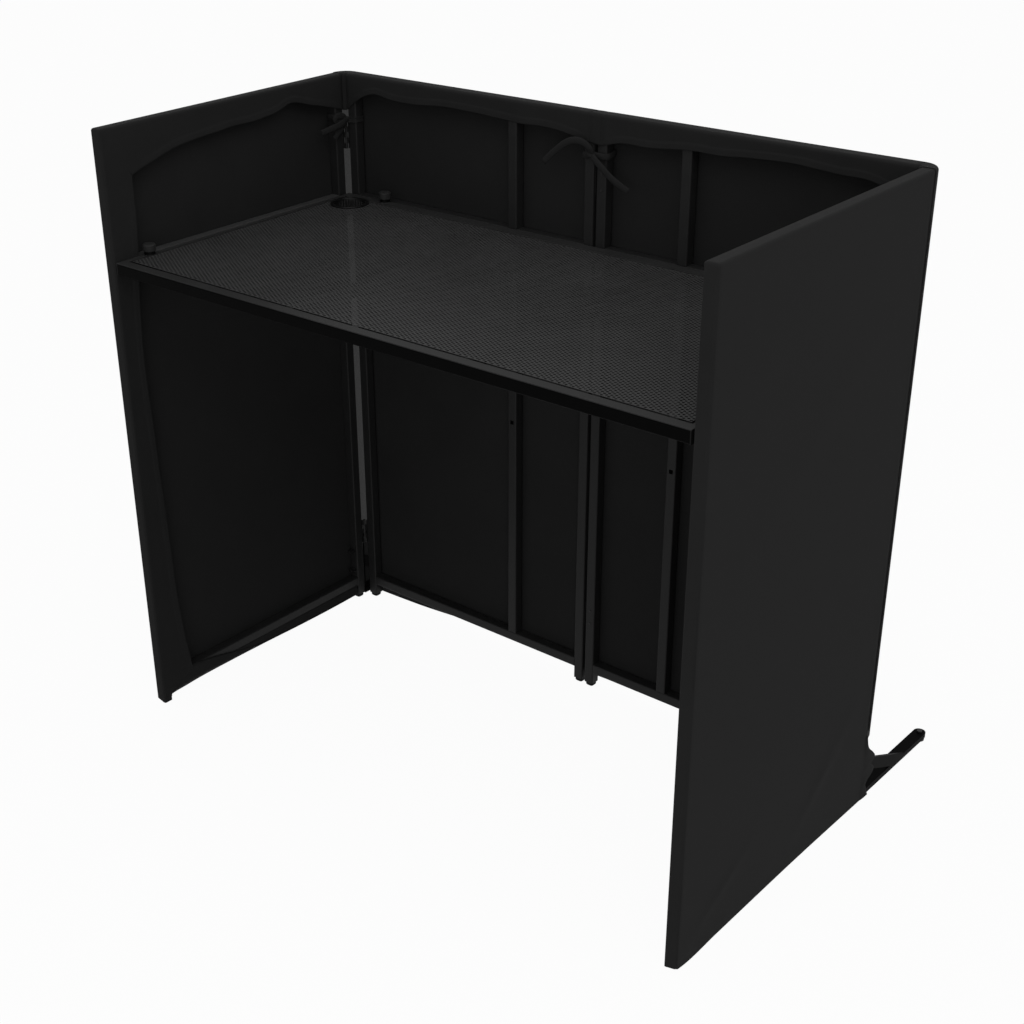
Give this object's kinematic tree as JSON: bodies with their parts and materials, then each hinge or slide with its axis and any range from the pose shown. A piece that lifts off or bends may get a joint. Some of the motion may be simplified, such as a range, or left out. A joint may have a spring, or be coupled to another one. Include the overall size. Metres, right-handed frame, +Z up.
{
  "type": "dj booth",
  "caption": "Folding booth for a disc jockey: hinged tube panels in a stretch cover round a lift-out perforated deck, with turning locks, cable rings and floor stabilisers.",
  "frame": {"origin": "on the floor, in the middle of the footprint, stabilisers included", "axes": "+Z up, +X to the performer's right, +Y from the performer towards the audience"},
  "size_m": [1.2196, 0.8298, 1.1148],
  "materials": {
    "coated_tube": "satin black powder coat",
    "deck_sheet": "semi-gloss black powder coat, perforated",
    "hinge_steel": "black plated steel",
    "fastener_steel": "black oxide",
    "black_plastic": "fine moulded texture",
    "knob_plastic": "moulded",
    "stretch_cloth": "black stretch knit"
  },
  "bodies": {
    "deck": {"cable_rings": "black_plastic", "deck_bearers": "coated_tube", "deck_end_caps": "black_plastic", "deck_frame_rails": "coated_tube", "deck_rear_rail": "coated_tube", "deck_sheet": "deck_sheet", "lock_flanges": "knob_plastic"},
    "front_left_panel": {"centre_hinge_left_leaves": "hinge_steel", "centre_hinge_pins": "hinge_steel", "cover_centre_strip": "stretch_cloth", "cover_front_left": "stretch_cloth", "cover_left_corner_strip": "stretch_cloth", "cover_ties": "stretch_cloth", "front_left_centre_post": "coated_tube", "front_left_corner_post": "coated_tube", "front_left_feet": "black_plastic", "front_left_ledges": "coated_tube", "front_left_mid_rails": "coated_tube", "front_left_rails": "coated_tube", "front_left_upright": "coated_tube", "left_hinge_front_leaves": "hinge_steel", "left_hinge_pins": "hinge_steel"},
    "front_right_panel": {"centre_hinge_right_leaves": "hinge_steel", "centre_hinge_rivets": "hinge_steel", "cover_front_right": "stretch_cloth", "cover_right_corner_strip": "stretch_cloth", "cover_tie_right": "stretch_cloth", "front_right_centre_post": "coated_tube", "front_right_corner_post": "coated_tube", "front_right_feet": "black_plastic", "front_right_ledges": "coated_tube", "front_right_mid_rails": "coated_tube", "front_right_rails": "coated_tube", "front_right_upright": "coated_tube", "right_hinge_front_leaves": "hinge_steel", "right_hinge_pins": "hinge_steel"},
    "left_wing": {"cover_left_wing": "stretch_cloth", "left_hinge_wing_leaves": "hinge_steel", "left_wing_corner_post": "coated_tube", "left_wing_feet": "black_plastic", "left_wing_ledges": "coated_tube", "left_wing_mid_rail": "coated_tube", "left_wing_rails": "coated_tube", "left_wing_rear_post": "coated_tube", "stabiliser_left": "coated_tube", "stabiliser_left_fasteners": "fastener_steel"},
    "right_wing": {"cover_right_wing": "stretch_cloth", "right_hinge_wing_leaves": "hinge_steel", "right_wing_corner_post": "coated_tube", "right_wing_feet": "black_plastic", "right_wing_ledges": "coated_tube", "right_wing_mid_rail": "coated_tube", "right_wing_rails": "coated_tube", "right_wing_rear_post": "coated_tube", "stabiliser_right": "coated_tube", "stabiliser_right_fasteners": "fastener_steel"},
    "lock_front_left": {"lock_knob_front_left": "knob_plastic"},
    "lock_front_right": {"lock_knob_front_right": "knob_plastic"},
    "lock_rear_left": {"lock_knob_rear_left": "knob_plastic"},
    "lock_rear_right": {"lock_knob_rear_right": "knob_plastic"}
  },
  "joints": [
    {"name": "front_fold", "type": "hinge", "parent": "front_left_panel", "child": "front_right_panel", "pos_m": [0, 0.1829, 0], "axis": [0, 0, 1], "range_deg": [0, 130], "deforming": ["cover_centre_strip"]},
    {"name": "deck_lift", "type": "slide", "parent": "front_left_panel", "child": "deck", "axis": [0, 0, 1], "range_m": [0, 0.08]},
    {"name": "left_wing_swing", "type": "hinge", "parent": "front_left_panel", "child": "left_wing", "pos_m": [-0.5845, 0.1594, 0], "axis": [0, 0, -1], "range_deg": [0, 12], "deforming": ["cover_left_corner_strip"]},
    {"name": "lock_rear_left_turn", "type": "hinge", "parent": "deck", "child": "lock_rear_left", "pos_m": [-0.575, -0.3451, 0.89], "axis": [0, 0, 1], "range_deg": [0, 90]},
    {"name": "lock_front_left_turn", "type": "hinge", "parent": "deck", "child": "lock_front_left", "pos_m": [-0.48, 0.1499, 0.89], "axis": [0, 0, 1], "range_deg": [0, 90]},
    {"name": "right_wing_swing", "type": "hinge", "parent": "front_right_panel", "child": "right_wing", "pos_m": [0.5845, 0.1594, 0], "axis": [0, 0, 1], "range_deg": [0, 12], "deforming": ["cover_right_corner_strip"]},
    {"name": "lock_rear_right_turn", "type": "hinge", "parent": "deck", "child": "lock_rear_right", "pos_m": [0.575, -0.3451, 0.89], "axis": [0, 0, -1], "range_deg": [0, 90]},
    {"name": "lock_front_right_turn", "type": "hinge", "parent": "deck", "child": "lock_front_right", "pos_m": [0.48, 0.1499, 0.89], "axis": [0, 0, -1], "range_deg": [0, 90]}
  ]
}
